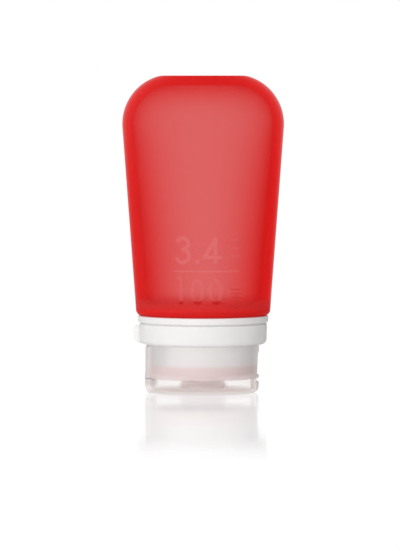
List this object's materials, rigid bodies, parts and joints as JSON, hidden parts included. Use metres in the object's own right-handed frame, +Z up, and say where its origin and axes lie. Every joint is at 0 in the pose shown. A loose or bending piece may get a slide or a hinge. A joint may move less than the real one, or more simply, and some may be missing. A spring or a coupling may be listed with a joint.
{
  "type": "travel squeeze bottle",
  "caption": "Squeezable silicone travel bottle that stands on a screw cap with a hinged flip lid, a slit valve and a swivelling neck ring.",
  "frame": {"origin": "centre of the closed lid's outer face, on the surface that the bottle stands on", "axes": "+Z up along the bottle's axis from the lid to the base, +X away from the lid's hinge, +Y through the bottle's depth; the picture looks along +Y"},
  "size_m": [0.0566, 0.0472, 0.111],
  "materials": {
    "red_silicone": "satin, translucent",
    "white_plastic": "satin",
    "frosted_plastic": "frosted, translucent",
    "clear_plastic": "clear with a light haze",
    "valve_silicone": "satin, translucent"
  },
  "bodies": {
    "bottle": {"squeeze_body": "red_silicone", "neck_collar": "white_plastic"},
    "ring": {"swivel_ring": "white_plastic"},
    "retainer": {"valve_retainer": "frosted_plastic"},
    "cap": {"cap_base": "frosted_plastic", "slit_valve": "valve_silicone", "living_hinge": "frosted_plastic"},
    "lid": {"flip_lid": "clear_plastic"}
  },
  "joints": [
    {"name": "ring_swivel", "type": "hinge", "parent": "bottle", "child": "ring", "pos_m": [0, 0, 0.0207], "axis": [0, 0, 1], "continuous": true},
    {"name": "cap_lift", "type": "slide", "parent": "bottle", "child": "retainer", "axis": [0, 0, -1], "range_m": [0, 0.01201]},
    {"name": "cap_turn", "type": "hinge", "parent": "retainer", "child": "cap", "pos_m": [0, 0, 0.011], "axis": [0, 0, -1], "range_deg": [0, 1080]},
    {"name": "lid_flip", "type": "hinge", "parent": "cap", "child": "lid", "pos_m": [-0.0203, 0, 0.0052], "axis": [0, 1, 0], "range_deg": [0, 180], "deforming": ["living_hinge"]}
  ],
  "couplings": [
    {"joint": "cap_lift", "follows": "cap_turn", "m_per_rad": 0.00063662}
  ]
}
